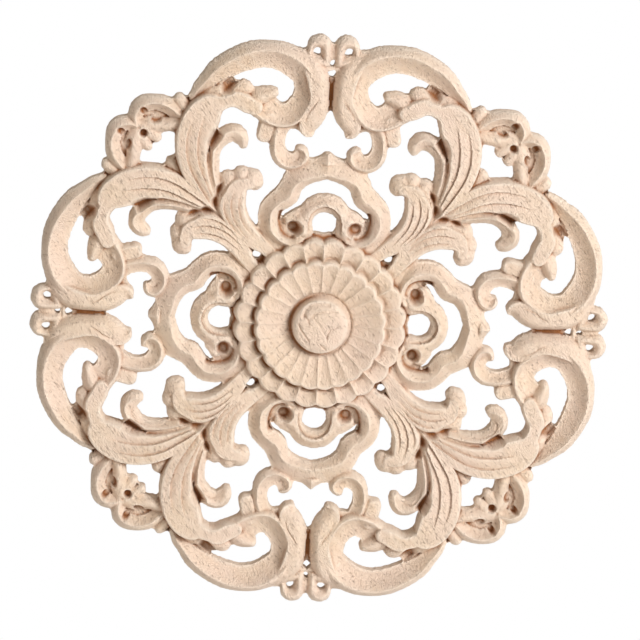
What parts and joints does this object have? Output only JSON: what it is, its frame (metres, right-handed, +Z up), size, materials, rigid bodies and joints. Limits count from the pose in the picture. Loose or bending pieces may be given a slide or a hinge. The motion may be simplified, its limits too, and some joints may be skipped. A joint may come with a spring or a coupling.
{
  "type": "wood applique",
  "caption": "Round openwork carved applique of unpainted pale wood: a fluted rosette ringed by scrolls, curled leaves and small shells, flat at the back",
  "frame": {"origin": "centre of the flat back, on the plane that lies against the wall or furniture", "axes": "+Z up, front facing -Y, back on the plane y = 0 with its normal along +Y"},
  "size_m": [0.1998, 0.015, 0.1998],
  "materials": {
    "wood": "raw, matt"
  },
  "bodies": {
    "root": {"applique": "wood"}
  },
  "joints": []
}
